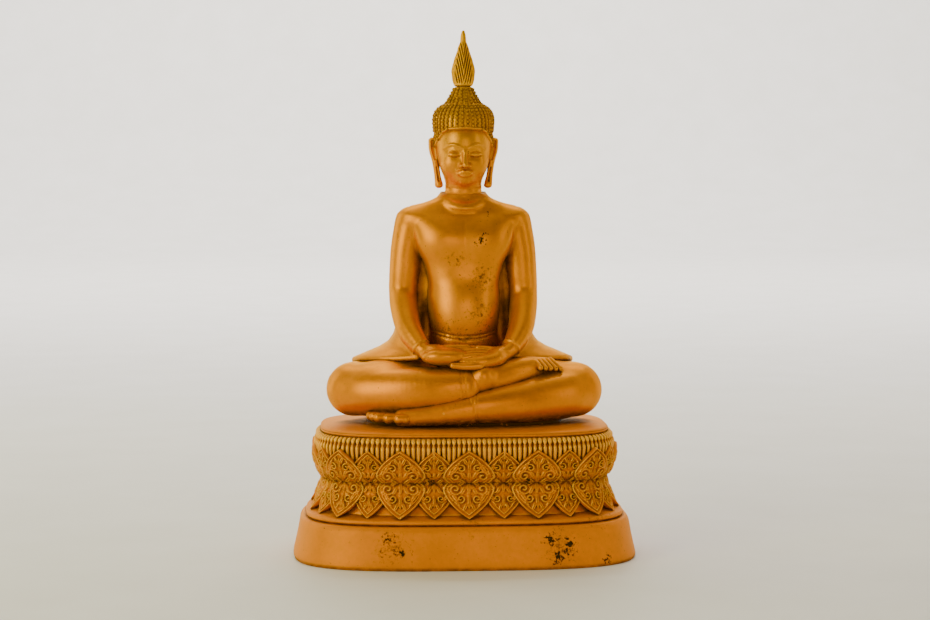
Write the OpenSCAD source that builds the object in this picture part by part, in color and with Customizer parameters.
// Seated buddha statue on a double lotus throne, built as separate castings.
// Millimetres, +Z up, the figure faces -Y, and the origin is the centre of the underside.

/* [Plinth] */
// Width of the plinth at the floor
plinth_w = 158; // [150:1:166]
// Depth of the plinth at the floor
plinth_d = 106; // [102:1:110]
// Height of the plinth
plinth_h = 19; // [17:0.5:23]
// Inward lean of the plinth's sides from floor to top
plinth_lean = 3.6; // [2:0.2:5]
// Thickness of the hollow castings' walls
wall = 4; // [3:0.5:5]

/* [Throne] */
// Width of the throne's seat
seat_w = 133; // [131:1:136]
// Depth of the throne's seat
seat_d = 83; // [81:1:85]
// Height of the raised step under the lower lotus
step_h = 3.5; // [3:0.5:5]
// Height of the lower lotus tier
lower_h = 15.5; // [14:0.5:18]
// Height of the upper lotus tier
upper_h = 19.5; // [18:0.5:22]
// Thickness of the seat slab
slab_h = 4; // [3.5:0.5:5]
// Large petals round each tier, with as many small ones between them
petals = 14; // [12:2:16]
// Stamens round the upper tier
stamens = 120; // [96:12:144]

/* [Figure] */
// Width of the lap, from knee to knee
lap_w = 127; // [122:1:130]

/* [Fasteners] */
// Diameter of the two pegs that locate the figure on the throne
seat_peg_d = 6; // [5:0.5:7]
// Diameter of the peg that holds the flame finial
flame_peg_d = 3; // [2.5:0.25:3.5]
// Diameter of the joining pins in the neck, shoulders, wrists and ankles
pin_d = 2.4; // [2:0.2:2.6]
// Diameter of the tie bolts through the base
bolt_d = 5; // [4:0.5:6]
// Diameter of the base cover's screws
screw_d = 3; // [2.5:0.25:3.5]

/* [Hidden] */

// Stack of the base, from the floor up
step_z = plinth_h;
lower_z = step_z + step_h;
upper_z = lower_z + lower_h;
slab_z = upper_z + upper_h;
seat_z = slab_z + slab_h;
// A lifted-off casting stands this far above what it rests on
rest_gap = 0.1;
// Radial clearance of a peg in the hole that it lifts out of
running = 0.05;
// Size of the figure against the drawing below, which has a lap of 127
k = lap_w / 127;

// Plan of the base: a superellipse, and how it steps in from the plinth's foot
plan_n = 3.3;
plan_steps = 64;
foot_r = [plinth_w / 2, plinth_d / 2];
deck_r = foot_r - [plinth_lean, plinth_lean];
step_r = deck_r - [2.1, 2.1];
seat_r = [seat_w / 2, seat_d / 2];
waist_r = seat_r - [3.5, 3.5];
hollow_r = waist_r - [wall, wall];
deck_t = 4;

// Base cover, its ledge in the plinth and its screws
cover_r = foot_r - [5, 5];
cover_ledge = 3;
cover_t = 1.2;
cover_z = 0.4;
cover_gap = 0.2;
screw_at = [59, 32];
screw_len = 8;
screw_head_z = 0.05;
screw_head_d = 5.6;
boss_d = 9;

// Tie bolts
bolt_x = 42;
bolt_top = slab_z - 5;
washer_d = 11;
washer_t = 1;
bolt_head_h = 3.4;
bolt_head_d = 9.2;
bolt_clearance = 0.4;
bolt_boss_d = 12;

// Pegs under the figure
peg_x = 26;
peg_y = 2;
peg_depth = 6.5;
peg_len = 14;

// ---------- geometry helpers ----------

// Point on a superellipse of half widths r at angle t
function oval_point(r, t, n = plan_n) =
  let (c = cos(t), s = sin(t))
  [r[0] * sign(c) * pow(abs(c), 2 / n), r[1] * sign(s) * pow(abs(s), 2 / n)];

function oval(r, n = plan_n, steps = plan_steps) =
  [for (i = [0:steps - 1]) oval_point(r, 360 * i / steps, n)];

function at_height(outline, z) = [for (p = outline) [p[0], p[1], z]];

// Running length along an outline, as keys for lookup()
function run(p, i = 0, so_far = 0) =
  i >= len(p) - 1 ? [so_far]
  : concat([so_far], run(p, i + 1, so_far + norm(p[i + 1] - p[i])));

// Closed solid through a list of rings that all have the same number of points
module skin(rings) {
  n = len(rings[0]);
  m = len(rings);
  points = [for (ring = rings) each ring];
  sides = [
    for (i = [0:m - 2], j = [0:n - 1])
      [(i + 1) * n + j, (i + 1) * n + (j + 1) % n, i * n + (j + 1) % n, i * n + j]
  ];
  low_cap = [[for (j = [0:n - 1]) j]];
  high_cap = [[for (j = [n - 1:-1:0]) (m - 1) * n + j]];
  polyhedron(points = points, faces = concat(sides, low_cap, high_cap));
}

// One mesh of everything inside, at its own size
module one_mesh() resize([0, 0, 0]) union() children();

function unit(v) = v / norm(v);
function place(s) = [s[0], s[1], s[2]];

// Catmull-Rom curve through stations, which may hold radii as well as a place
function curve_point(a, b, c, d, t) =
  0.5 * (2 * b + (c - a) * t + (2 * a - 5 * b + 4 * c - d) * t * t + (3 * b - a - 3 * c + d) * t * t * t);

function curve(st, steps) =
  let (n = len(st) - 1)
  concat(
    [
      for (i = [0:n - 1], s = [0:steps - 1])
        curve_point(st[max(i - 1, 0)], st[i], st[i + 1], st[min(i + 2, n)], s / steps)
    ],
    [st[n]]
  );

// Ring of a limb: station s is [x, y, z, half width, half thickness], and up is the thickness side
function limb_ring(s, along, up, shift, shrink, sides) =
  let (
    u = unit(cross(up, along)),
    v = cross(along, u),
    c = place(s) + along * shift * min(s[3], s[4])
  )
  [for (j = [0:sides - 1]) let (t = 360 * j / sides)
    c + u * s[3] * shrink * cos(t) + v * s[4] * shrink * sin(t)];

// Round-ended limb through stations
module limb(stations, up = [0, 0, 1], steps = 2, sides = 16) {
  pts = curve(stations, steps);
  n = len(pts) - 1;
  dirs = [for (i = [0:n]) unit(place(pts[min(i + 1, n)]) - place(pts[max(i - 1, 0)]))];
  skin(concat(
    [for (a = [75:-25:25]) limb_ring(pts[0], dirs[0], up, -sin(a), cos(a), sides)],
    [for (i = [0:n]) limb_ring(pts[i], dirs[i], up, 0, 1, sides)],
    [for (a = [25:25:75]) limb_ring(pts[n], dirs[n], up, sin(a), cos(a), sides)]
  ));
}

// Upright body: each station is [z, centre y, half width, half depth, squareness]
module upright(stations, steps = 3, sides = 32) {
  skin([
    for (s = curve(stations, steps))
      [for (p = oval([s[2], s[3]], s[4], sides)) [p[0], p[1] + s[1], s[0]]]
  ]);
}

// Mirror of a right-hand piece for the left side
module flipped(on) mirror([on ? 1 : 0, 0, 0]) children();

// Everything on the figure is drawn from the underside of its foot plate
module on_seat() translate([0, 0, seat_z + rest_gap]) scale([k, k, k]) children();

// Pin along a line between two points
module pin(from, to, d) {
  v = to - from;
  translate(from)
    rotate([0, acos(v[2] / norm(v)), atan2(v[1], v[0])])
      cylinder(d = d, h = norm(v), $fn = 32);
}

module both_ends(x, y) for (sx = [-1, 1], sy = [-1, 1]) translate([sx * x, sy * y, 0]) children();
module both_sides(x, y) for (sx = [-1, 1]) translate([sx * x, y, 0]) children();

// ---------- base ----------

module plinth() {
  chamfer = 0.8;
  color("goldenrod")
    difference() {
      skin([
        at_height(oval(foot_r - [chamfer, chamfer]), 0),
        at_height(oval(foot_r), chamfer),
        at_height(oval(deck_r + [0.5, 0.5]), plinth_h - 3),
        at_height(oval(deck_r - [0.3, 0.3]), plinth_h - 1.2),
        at_height(oval(deck_r - [1.6, 1.6]), plinth_h)
      ]);
      translate([0, 0, -1])
        linear_extrude(cover_z + cover_t + 1)
          polygon(oval(cover_r));
      difference() {
        translate([0, 0, cover_z])
          linear_extrude(plinth_h - deck_t - cover_z)
            polygon(oval(cover_r - [cover_ledge, cover_ledge]));
        both_ends(screw_at[0], screw_at[1]) cylinder(d = boss_d, h = plinth_h, $fn = 48);
      }
      both_ends(screw_at[0], screw_at[1])
        cylinder(d = screw_d, h = cover_z + cover_t + screw_len, $fn = 32);
      both_sides(bolt_x, 0) cylinder(d = bolt_d + bolt_clearance, h = plinth_h + 1, $fn = 32);
    }
}

module base_cover() {
  color("peru")
    difference() {
      translate([0, 0, cover_z])
        linear_extrude(cover_t)
          polygon(oval(cover_r - [cover_gap, cover_gap]));
      both_ends(screw_at[0], screw_at[1]) cylinder(d = screw_d, h = plinth_h, $fn = 32);
    }
}

module cover_screws() {
  color("silver")
    both_ends(screw_at[0], screw_at[1]) {
      translate([0, 0, screw_head_z]) {
        cylinder(d = screw_head_d, h = cover_z - screw_head_z, $fn = 32);
        cylinder(d = screw_d, h = cover_t + screw_len, $fn = 32);
      }
    }
}

module step_plate() {
  edge = 1;
  color("darkgoldenrod")
    difference() {
      skin([
        at_height(oval(step_r - [0.6, 0.6]), step_z),
        at_height(oval(step_r), step_z + edge),
        at_height(oval(step_r - [0.2, 0.2]), lower_z - edge),
        at_height(oval(step_r - [edge, edge]), lower_z)
      ]);
      both_sides(bolt_x, 0)
        translate([0, 0, step_z - 1])
          cylinder(d = bolt_d + bolt_clearance, h = step_h + 2, $fn = 32);
    }
}

// Lotus petal that wraps round a tier, with petal 0 at the middle of the front.
// root and tip are heights, r_root and r_tip the tier there, swell is how far the petal stands out,
// and flare is over 1 where the tier opens late and under 1 where it opens early
module petal(index, small, r_root, r_tip, root, tip, swell, flare) {
  rows = 5;
  across = 3;
  plan = oval(seat_r, plan_n, 4 * plan_steps);
  closed = concat(plan, [plan[0]]);
  keys = run(closed);
  total = keys[len(keys) - 1];
  xs = [for (i = [0:len(keys) - 1]) [keys[i], closed[i][0] / seat_r[0]]];
  ys = [for (i = [0:len(keys) - 1]) [keys[i], closed[i][1] / seat_r[1]]];
  middle = total * 0.75 + (index + (small ? 0.5 : 0)) * total / petals;
  half = total / petals * (small ? 0.3 : 0.37);
  function shape(h) = pow(max(1 - pow(h, 2.2), 0), 0.75);
  skin([
    for (i = root < tip ? [0:rows] : [rows:-1:0])
      let (
        h = min(i / rows, 0.985),
        w = half * shape(h),
        r = r_root + (r_tip - r_root) * pow(h, flare),
        z = root + (tip - root) * h,
        out = swell * (0.35 + 0.65 * sin(180 * pow(h, 0.8)))
      )
      concat(
        [for (j = [-across:across])
          let (s = (middle + w * j / across + total) % total, o = out * (1 - 0.55 * pow(j / across, 2)))
          [lookup(s, xs) * (r[0] + o), lookup(s, ys) * (r[1] + o), z]],
        [for (j = [across, -across])
          let (s = (middle + w * j / across + total) % total)
          [lookup(s, xs) * (r[0] - 2), lookup(s, ys) * (r[1] - 2), z]]
      )
  ]);
}

module petal_row(r_root, r_tip, root, tip, swell, flare) {
  for (i = [0:petals - 1]) {
    petal(i, true, r_root, r_tip, root, tip, swell - 0.9, flare);
    petal(i, false, r_root, r_tip, root, tip, swell, flare);
  }
}

module lower_lotus() {
  tip_r = step_r - [1.6, 1.6];
  color("orange")
    difference() {
      one_mesh()
        union() {
          skin([
            at_height(oval(tip_r - [2.6, 2.6]), lower_z),
            at_height(oval(tip_r - [3.4, 3.4]), lower_z + 2),
            at_height(oval(waist_r + [1.6, 1.6]), lower_z + 9),
            at_height(oval(waist_r), upper_z)
          ]);
          petal_row(waist_r + [0.6, 0.6], tip_r - [0.9, 0.9], upper_z - 0.4, lower_z + 0.6, 2.6, 1.3);
        }
      both_sides(bolt_x, 0)
        translate([0, 0, lower_z - 1])
          cylinder(d = bolt_d + bolt_clearance, h = lower_h + 2, $fn = 32);
    }
}

// Ring of upright ribs, drawn as a fluted outline
module stamen_band(r, depth) {
  plan = oval(r, plan_n, 4 * plan_steps);
  closed = concat(plan, [plan[0]]);
  keys = run(closed);
  total = keys[len(keys) - 1];
  xs = [for (i = [0:len(keys) - 1]) [keys[i], closed[i][0]]];
  ys = [for (i = [0:len(keys) - 1]) [keys[i], closed[i][1]]];
  polygon([
    for (i = [0:2 * stamens - 1])
      let (s = total * i / (2 * stamens), f = 1 - (i % 2) * depth / r[0])
      [lookup(s, xs) * f, lookup(s, ys) * f]
  ]);
}

module upper_lotus() {
  band_r = seat_r + [1.9, 1.9];
  color("orange")
    difference() {
      one_mesh()
        difference() {
          union() {
            skin([
              at_height(oval(waist_r), upper_z),
              at_height(oval(waist_r + [1.5, 1.5]), upper_z + 4),
              at_height(oval(seat_r), upper_z + 10),
              at_height(oval(seat_r), slab_z)
            ]);
            translate([0, 0, upper_z + 8]) linear_extrude(upper_h - 8.8) stamen_band(band_r, 0.9);
            petal_row(waist_r + [0.6, 0.6], band_r + [0.2, 0.2], upper_z + 0.4, upper_z + 14.6, 3.4, 0.7);
          }
          translate([0, 0, upper_z - 1])
            linear_extrude(upper_h - deck_t + 1)
              difference() {
                polygon(oval(hollow_r));
                both_sides(bolt_x, 0) circle(d = bolt_boss_d, $fn = 24);
              }
        }
      both_sides(bolt_x, 0)
        translate([0, 0, upper_z - 1]) cylinder(d = bolt_d, h = bolt_top + 1.5 - upper_z, $fn = 32);
      both_sides(peg_x * k, peg_y * k)
        translate([0, 0, slab_z - deck_t - 1])
          cylinder(r = seat_peg_d / 2 + running, h = deck_t + 2, $fn = 48);
    }
}

module seat_slab() {
  color("gold")
    difference() {
      skin([
        at_height(oval(seat_r - [0.8, 0.8]), slab_z),
        at_height(oval(seat_r), slab_z + 0.8),
        at_height(oval(seat_r - [0.2, 0.2]), slab_z + 1.8),
        at_height(oval(seat_r - [1.6, 1.6]), seat_z - 0.7),
        at_height(oval(seat_r - [5, 5]), seat_z)
      ]);
      both_sides(peg_x * k, peg_y * k)
        translate([0, 0, slab_z - 1])
          cylinder(r = seat_peg_d / 2 + running, h = slab_h + 2, $fn = 48);
    }
}

module tie_bolts() {
  head_z = plinth_h - deck_t - washer_t - bolt_head_h;
  color("silver")
    both_sides(bolt_x, 0) {
      translate([0, 0, head_z]) cylinder(d = bolt_head_d, h = bolt_head_h, $fn = 6);
      translate([0, 0, head_z]) cylinder(d = bolt_d, h = bolt_top - head_z, $fn = 32);
    }
}

module tie_washers() {
  color("lightgray")
    both_sides(bolt_x, 0)
      translate([0, 0, plinth_h - deck_t - washer_t])
        difference() {
          cylinder(d = washer_d, h = washer_t, $fn = 48);
          translate([0, 0, -1]) cylinder(d = bolt_d + bolt_clearance, h = washer_t + 2, $fn = 32);
        }
}

// ---------- figure, in the drawing's own size ----------

pad_h = 4;
wrist = [-18.6, -22, 32.5];
shoulder = [-24.6, 1.5, 87.5];
neck_z = 101;
crown_z = 153.7;
crown_y = 2;

module right_leg_shape() {
  limb([[-17, 11, 15.4, 12.4, 12], [-33, 6, 16.8, 12.8, 12.6], [-50.4, -4, 17, 12.2, 12.2]]);
  limb([[-51.2, -7, 16.6, 12, 12], [-42, -15, 15.8, 12, 12], [-27, -22.5, 16.4, 10.6, 10.6],
        [-12, -26.6, 17.6, 9, 9], [-1, -28, 18.4, 7.4, 7.8]]);
}

module left_leg_shape() {
  limb([[17, 11, 14.4, 12.2, 11.8], [33, 6, 16, 12.8, 12.4], [50.4, -4, 16.4, 12.2, 12]]);
  limb([[51.2, -7, 16, 12, 12], [42.6, -15, 14.2, 11.6, 11.4], [28, -23, 12.2, 10, 9.6],
        [14, -27.6, 10, 8, 7.6], [3, -30, 8.8, 6.4, 6.2]]);
}

module right_foot_shape() {
  up = unit([0.1, -0.5, 1]);
  limb([[3, -27.5, 19.4, 6.6, 6.6], [10, -27, 21.8, 7.2, 5.8],
        [19, -23.5, 24.4, 7, 4.8], [29.6, -18.5, 27.2, 7, 3.4]], up = up, sides = 12);
  for (i = [0:4])
    limb([[31.4 + 1.4 * i, -13.4 - 2.5 * i, 28.8 - 0.55 * i, 1.7, 1.6],
          [38 + 1.2 * i, -11.4 - 2.5 * i, 29.4 - 0.7 * i, 1.5, 1.4]], up = up, sides = 6, steps = 1);
}

module left_foot_shape() {
  up = unit([0, -0.25, 1]);
  limb([[0, -30.4, 8.4, 6, 5.6], [-9, -30, 7.6, 6, 5],
        [-20, -29, 6.4, 6.4, 4], [-30, -28, 5.6, 6.8, 3]], up = up, sides = 12);
  for (i = [0:4])
    limb([[-31 - 0.6 * i, -23 - 2.5 * i, 5.2, 1.6, 1.9],
          [-39.5 - 0.4 * i, -22.4 - 2.4 * i, 4.2, 1.5, 1.6]], up = up, sides = 6, steps = 1);
}

module torso_shape() {
  upright([
    [3, 8, 28, 15.5, 2.4], [12, 8, 30, 17, 2.4], [21, 6.5, 26, 17, 2.4], [28, 2, 18, 15, 2.3],
    [36, 0, 15.4, 13.6, 2.2], [41, -1, 15.1, 13.4, 2.2], [49, -1.5, 16.7, 14.8, 2.2],
    [56, -1, 15.6, 13.6, 2.2], [62.4, 0, 15, 12.2, 2.2], [70, 0.5, 17.2, 12.4, 2.3],
    [78, 0.5, 20.4, 13, 2.4], [86, 1, 23.4, 12.8, 2.5], [91, 1.6, 24.6, 11.8, 2.4],
    [95, 2, 23.4, 10.4, 2.3], [98.4, 2, 18.6, 9.4, 2.2], [neck_z, 1.8, 12, 9, 2]
  ], steps = 1, sides = 24);
}

module robe_back_shape() {
  upright([
    [4.6, 9, 38, 14, 2.6], [12, 10, 46, 16.4, 2.6], [22, 10, 49.6, 16.4, 2.6], [27.4, 9.5, 50, 14.6, 2.6],
    [30, 9, 45, 13.4, 2.4], [32.4, 8.6, 38, 12.4, 2.3], [36, 8.4, 33.6, 11, 2.2], [42, 8.2, 31.5, 9.4, 2.2],
    [58, 8, 30.6, 7.8, 2.4], [74, 7.4, 29.6, 7.4, 2.4], [86, 6.4, 26, 7, 2.2], [92, 5.6, 20, 6, 2]
  ], steps = 1, sides = 24);
}

module right_arm_shape() {
  limb([concat(shoulder, [7.4, 8]), [-26.5, 2.4, 78.6, 6.8, 7.4], [-27.5, 3, 67, 6.3, 6.9],
        [-28, 2.4, 58.5, 5.8, 6.1], [-27.4, -3, 51, 5.9, 5.8], [-25.6, -12, 42, 5.3, 5.1],
        concat(wrist, [3.7, 3.6])], up = [0, -1, 0], sides = 14);
}

module right_hand_shape() {
  limb([[-18.4, -22.2, 33.4, 3.3, 3.2], [-12, -25, 32.2, 5.6, 2.8], [-4, -25.8, 32.4, 6.4, 2.3]],
       sides = 10);
  for (i = [0:3])
    limb([[-3, -21.3 - 2.9 * i, 32.6, 1.5, 1.5], [6, -20.9 - 2.7 * i, 33.4, 1.4, 1.4],
          [13.4 - 1.2 * abs(i - 1.5), -21.2 - 2.4 * i, 33.6, 1.2, 1.2]], sides = 6, steps = 1);
  limb([[-10, -28.8, 33, 1.8, 1.8], [-5, -30.6, 34.6, 1.6, 1.6], [-1, -29.6, 36.2, 1.3, 1.3]],
       sides = 6, steps = 1);
}

module left_hand_shape() {
  limb([[18.4, -22.2, 32.6, 3.3, 3.2], [12, -26, 29.8, 5.8, 2.8], [4, -27, 28.9, 6.4, 2.1]],
       sides = 10);
  for (i = [0:3])
    limb([[3, -22.7 - 2.9 * i, 28.7, 1.5, 1.5], [-5, -22.5 - 2.8 * i, 28.6, 1.4, 1.4],
          [-10.6 + 1.2 * abs(i - 1.5), -22.9 - 2.5 * i, 28.8, 1.2, 1.2]], sides = 6, steps = 1);
  limb([[11, -29.8, 31.4, 1.8, 1.8], [5.6, -31, 33.8, 1.6, 1.6], [1.4, -29.8, 36, 1.3, 1.3]],
       sides = 6, steps = 1);
}

module head_shape() {
  upright([
    [neck_z, 1.8, 9.6, 8.2, 2], [103.6, 1.6, 8.9, 7.8, 2], [107, 1.4, 8.7, 8, 2], [110, -0.2, 9, 10, 2],
    [114, -0.8, 10.4, 11.8, 2.1], [120, -0.4, 12, 12.8, 2.1], [127, 0.6, 12.8, 13.8, 2.1],
    [133, 1, 13.8, 15, 2], [139, 1.6, 14.3, 15, 2], [143, 2, 12.6, 13, 2], [145.6, 2, 8.4, 8.8, 2],
    [149, 2, 6.2, 6.4, 2], [crown_z, 2, 3.9, 4, 2]
  ], steps = 2, sides = 24);
}

module right_ear_shape() {
  limb([[-14, 0.4, 129.8, 1.5, 1.8], [-14, 1.2, 125, 1.4, 2.6], [-13, 1.4, 119.6, 1.2, 2.2],
        [-12.2, 1, 113, 1.1, 1.6], [-11.9, 0.8, 108, 1.3, 1.8]], up = [0, 1, 0], sides = 10);
}

module foot_plate() {
  color("goldenrod")
    on_seat()
      difference() {
        one_mesh()
          difference() {
            skin([
              at_height([for (p = oval([45, 25], 3)) p + [0, -3]], 0),
              at_height([for (p = oval([44, 24], 3)) p + [0, -3]], pad_h)
            ]);
            right_leg_shape();
            left_leg_shape();
            right_foot_shape();
            left_foot_shape();
            torso_shape();
          }
        both_sides(peg_x, peg_y)
          translate([0, 0, -1]) cylinder(d = seat_peg_d / k, h = pad_h + 2, $fn = 48);
      }
}

module seat_pegs() {
  color("khaki")
    both_sides(peg_x * k, peg_y * k)
      translate([0, 0, seat_z - peg_depth])
        cylinder(d = seat_peg_d, h = peg_len, $fn = 48);
}

module seat_peg_holes() {
  both_sides(peg_x, peg_y)
    translate([0, 0, -1])
      cylinder(d = seat_peg_d / k, h = 1 - rest_gap / k + (peg_len - peg_depth) / k, $fn = 48);
}

// Joining pins, each from one end to the other
shoulder_pin = [[-15, 2, 84], [-25, 2, 84]];
wrist_pin = [[-15, -23.4, 32.8], [-21, -20.6, 34.8]];
right_ankle_pin = [[-4, -27.8, 17.6], [6, -27.4, 20.4]];
left_ankle_pin = [[7, -29.4, 9.6], [-4, -29.8, 8.8]];
neck_pin = [[0, 2, 90], [0, 2, 110]];
neck_pin_d = 6;

module mirrored_pin(ends, d) {
  pin(ends[0], ends[1], d);
  mirror([1, 0, 0]) pin(ends[0], ends[1], d);
}

module torso() {
  color("gold")
    on_seat()
      difference() {
        one_mesh()
          difference() {
            torso_shape();
            right_leg_shape();
            left_leg_shape();
          }
        seat_peg_holes();
        mirrored_pin(shoulder_pin, pin_d / k);
        pin(neck_pin[0], neck_pin[1], neck_pin_d / k);
      }
}

module robe_back() {
  color("goldenrod")
    on_seat()
      difference() {
        one_mesh()
          difference() {
            robe_back_shape();
            torso_shape();
            right_leg_shape();
            left_leg_shape();
            right_foot_shape();
          }
        seat_peg_holes();
        mirrored_pin(shoulder_pin, pin_d / k);
      }
}

module right_leg() {
  color("gold")
    on_seat()
      difference() {
        one_mesh()
          difference() {
            right_leg_shape();
            left_leg_shape();
            left_foot_shape();
          }
        seat_peg_holes();
        pin(right_ankle_pin[0], right_ankle_pin[1], pin_d / k);
      }
}

module left_leg() {
  color("gold")
    on_seat()
      difference() {
        one_mesh() left_leg_shape();
        seat_peg_holes();
        pin(left_ankle_pin[0], left_ankle_pin[1], pin_d / k);
      }
}

module right_foot() {
  color("khaki")
    on_seat()
      difference() {
        one_mesh()
          difference() {
            right_foot_shape();
            right_leg_shape();
            left_leg_shape();
            mirror([1, 0, 0]) right_arm_shape();
          }
        pin(right_ankle_pin[0], right_ankle_pin[1], pin_d / k);
      }
}

module left_foot() {
  color("khaki")
    on_seat()
      difference() {
        one_mesh()
          difference() {
            left_foot_shape();
            left_leg_shape();
          }
        pin(left_ankle_pin[0], left_ankle_pin[1], pin_d / k);
      }
}

module ankle_pins() {
  color("silver")
    on_seat() {
      pin(right_ankle_pin[0], right_ankle_pin[1], pin_d / k);
      pin(left_ankle_pin[0], left_ankle_pin[1], pin_d / k);
    }
}

module arm(left) {
  color("gold")
    on_seat()
      flipped(left)
        difference() {
          one_mesh()
            difference() {
              right_arm_shape();
              torso_shape();
              robe_back_shape();
            }
          pin(shoulder_pin[0], shoulder_pin[1], pin_d / k);
          pin(wrist_pin[0], wrist_pin[1], pin_d / k);
        }
}

module shoulder_pins() color("silver") on_seat() mirrored_pin(shoulder_pin, pin_d / k);
module wrist_pins() color("silver") on_seat() mirrored_pin(wrist_pin, pin_d / k);

module right_hand() {
  color("khaki")
    on_seat()
      difference() {
        one_mesh()
          difference() {
            right_hand_shape();
            left_hand_shape();
            right_arm_shape();
            mirror([1, 0, 0]) right_arm_shape();
          }
        pin(wrist_pin[0], wrist_pin[1], pin_d / k);
      }
}

module left_hand() {
  color("khaki")
    on_seat()
      difference() {
        one_mesh()
          difference() {
            left_hand_shape();
            mirror([1, 0, 0]) right_arm_shape();
            right_leg_shape();
            right_foot_shape();
          }
        mirror([1, 0, 0]) pin(wrist_pin[0], wrist_pin[1], pin_d / k);
      }
}

module head() {
  color("khaki")
    on_seat()
      difference() {
        one_mesh() head_shape();
        pin(neck_pin[0], neck_pin[1], neck_pin_d / k);
        translate([0, crown_y, crown_z - flame_bore])
          cylinder(r = flame_peg_d / 2 / k + running, h = flame_bore + 1, $fn = 32);
      }
}

module ear(left) {
  color("khaki")
    on_seat()
      flipped(left)
        one_mesh()
          difference() {
            right_ear_shape();
            head_shape();
          }
}

module neck_dowel() color("silver") on_seat() pin(neck_pin[0], neck_pin[1], neck_pin_d / k);

// Flame finial, its bore in the crown and the reach of its peg into each of them
flame_gap = 0.1;
flame_h = 25.8;
flame_bore = 7;
flame_peg_reach = [6.5, 6];

module flame_finial() {
  color("gold")
    on_seat()
      translate([0, crown_y, crown_z + flame_gap])
        difference() {
          one_mesh()
            upright([
              [0, 0, 3.8, 3.8, 2], [1.4, 0, 4.1, 3.9, 2], [4, 0, 4.7, 4.2, 2], [7.5, 0, 5.15, 4.4, 2],
              [11, 0, 4.5, 3.9, 2], [16, 0, 2.9, 2.7, 2], [20, 0, 1.7, 1.7, 2], [23.4, 0, 1.25, 1.25, 2],
              [25, 0, 0.9, 0.9, 2], [flame_h, 0, 0.3, 0.3, 2]
            ], steps = 2, sides = 20);
          translate([0, 0, -1]) cylinder(d = flame_peg_d / k, h = flame_peg_reach[1] + 1, $fn = 32);
        }
}

module flame_peg() {
  color("silver")
    on_seat()
      translate([0, crown_y, crown_z - flame_peg_reach[0]])
        cylinder(d = flame_peg_d / k, h = flame_peg_reach[0] + flame_gap + flame_peg_reach[1], $fn = 32);
}

plinth();
step_plate();
lower_lotus();
upper_lotus();
seat_slab();
base_cover();
cover_screws();
tie_bolts();
tie_washers();
foot_plate();
seat_pegs();
torso();
robe_back();
right_leg();
left_leg();
right_foot();
left_foot();
ankle_pins();
arm(false);  // right_arm
arm(true);  // left_arm
shoulder_pins();
right_hand();
left_hand();
wrist_pins();
head();
ear(false);  // right_ear
ear(true);  // left_ear
neck_dowel();
flame_finial();
flame_peg();
